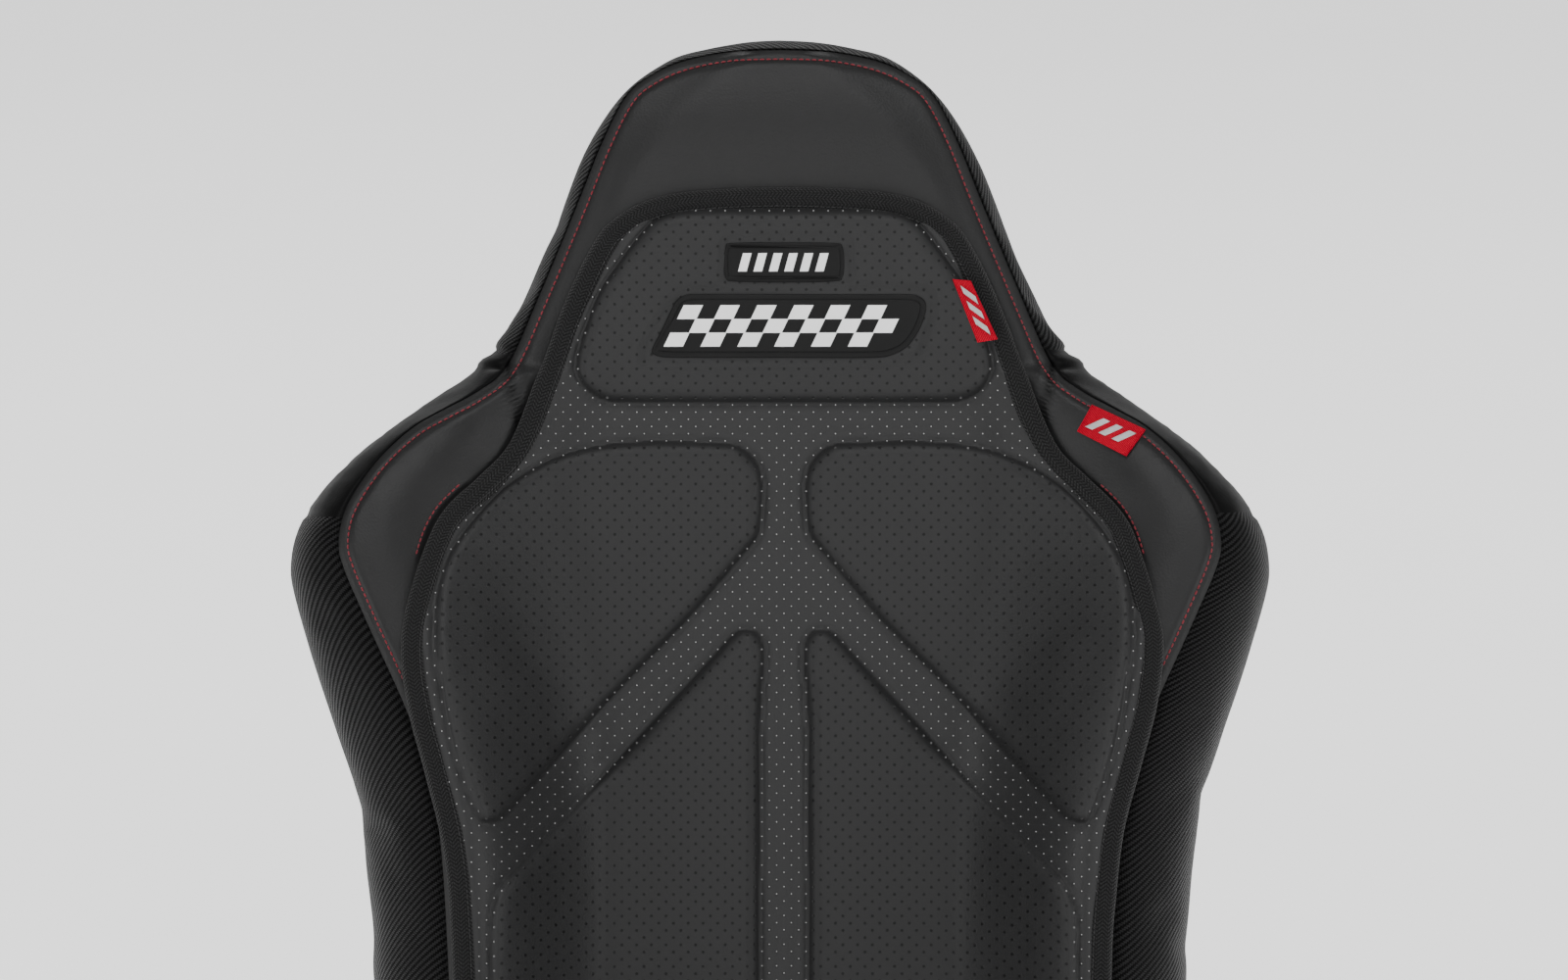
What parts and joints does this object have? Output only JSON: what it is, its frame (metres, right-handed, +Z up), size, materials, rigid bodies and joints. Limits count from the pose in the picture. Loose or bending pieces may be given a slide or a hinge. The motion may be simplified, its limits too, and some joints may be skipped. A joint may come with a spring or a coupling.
{
  "type": "racing seat",
  "caption": "Reclining bucket-style racing seat with bolstered backrest, quilted perforated leather pad, slide rails and recline levers.",
  "frame": {"origin": "centre of the four floor-rail fixing holes, on the floor plane", "axes": "+Z up, the seat faces -Y, +X to the sitter's left"},
  "size_m": [0.5888, 0.8308, 0.9149],
  "materials": {
    "leather_black": "grained matt",
    "carbon_vinyl": "carbon weave, satin",
    "seat_foam": "moulded foam",
    "webbing": "woven",
    "label_red": "woven",
    "badge_rubber": "moulded matt",
    "grip_rubber": "matt",
    "cover_plastic": "textured",
    "steel_black": "powder coated",
    "steel_zinc": "zinc plated"
  },
  "bodies": {
    "floor_rails": {"floor_rail_left": "steel_zinc", "floor_rail_right": "steel_zinc"},
    "ball_cages": {"ball_cages": "steel_zinc", "rail_balls": "steel_zinc", "rail_rollers": "steel_zinc"},
    "seat_base": {"seat_rail_left": "steel_zinc", "seat_rail_right": "steel_zinc", "rail_bolts": "steel_zinc", "side_frame_left": "steel_black", "side_frame_right": "steel_black", "cushion_cross_tubes": "steel_black", "cushion_webbing": "webbing", "cushion_foam": "seat_foam", "cushion_top_cover": "leather_black", "cushion_side_band": "carbon_vinyl", "hinge_bolts": "steel_zinc", "pawl_pins": "steel_zinc", "recline_springs": "steel_black", "hinge_cover_left": "cover_plastic", "hinge_cover_right": "cover_plastic", "hinge_cover_screws": "steel_zinc", "pad_seat_lining": "webbing", "pad_hip_foams": "seat_foam", "pad_thigh_foams": "seat_foam", "pad_seat_cover": "leather_black", "pad_seat_binding": "webbing", "pad_hinge_strip": "webbing"},
    "backrest": {"backrest_frame": "steel_black", "hinge_arm_left": "steel_black", "hinge_arm_right": "steel_black", "hinge_arm_bolts": "steel_zinc", "backrest_webbing": "webbing", "backrest_foam": "seat_foam", "backrest_front_cover": "leather_black", "backrest_side_band": "carbon_vinyl", "backrest_rear_cover": "leather_black", "pad_back_lining": "webbing", "pad_head_foam": "seat_foam", "pad_shoulder_foams": "seat_foam", "pad_lumbar_foams": "seat_foam", "pad_back_cover": "leather_black", "pad_back_binding": "webbing", "badge_large": "badge_rubber", "badge_small": "badge_rubber", "pad_label": "label_red", "wing_label": "label_red"},
    "levers": {"lever_rod": "steel_zinc", "recline_lever_left": "steel_black", "recline_lever_right": "steel_black", "lever_grips": "grip_rubber"},
    "pawl_left": {"pawl_left": "steel_zinc"},
    "pawl_right": {"pawl_right": "steel_zinc"},
    "slide_handle": {"slide_handle": "steel_black", "slide_handle_grip": "grip_rubber", "slide_latches": "steel_zinc"}
  },
  "joints": [
    {"name": "seat_slide", "type": "slide", "parent": "floor_rails", "child": "seat_base", "axis": [0, -1, 0], "range_m": [-0.09, 0.09]},
    {"name": "cage_travel", "type": "slide", "parent": "floor_rails", "child": "ball_cages", "axis": [0, -1, 0], "range_m": [-0.045, 0.045]},
    {"name": "backrest_recline", "type": "hinge", "parent": "seat_base", "child": "backrest", "pos_m": [0, 0.2, 0.15], "axis": [-1, 0, 0], "range_deg": [-12, 50]},
    {"name": "recline_lever", "type": "hinge", "parent": "seat_base", "child": "levers", "pos_m": [0, 0.154, 0.092], "axis": [-1, 0, 0], "range_deg": [0, 30], "stiffness_Nm_per_rad": 0.8, "springref_deg": -22.92},
    {"name": "pawl_left_release", "type": "hinge", "parent": "seat_base", "child": "pawl_left", "pos_m": [0.2085, 0.138, 0.152], "axis": [-1, 0, 0], "range_deg": [0, 5.4]},
    {"name": "pawl_right_release", "type": "hinge", "parent": "seat_base", "child": "pawl_right", "pos_m": [-0.2085, 0.138, 0.152], "axis": [-1, 0, 0], "range_deg": [0, 5.4]},
    {"name": "slide_release", "type": "hinge", "parent": "seat_base", "child": "slide_handle", "pos_m": [0, -0.04, 0.019], "axis": [-1, 0, 0], "range_deg": [0, 3.5], "stiffness_Nm_per_rad": 12, "springref_deg": -8.59}
  ],
  "couplings": [
    {"joint": "cage_travel", "follows": "seat_slide", "ratio": 0.5},
    {"joint": "pawl_left_release", "follows": "recline_lever", "ratio": 0.18},
    {"joint": "pawl_right_release", "follows": "recline_lever", "ratio": 0.18}
  ]
}
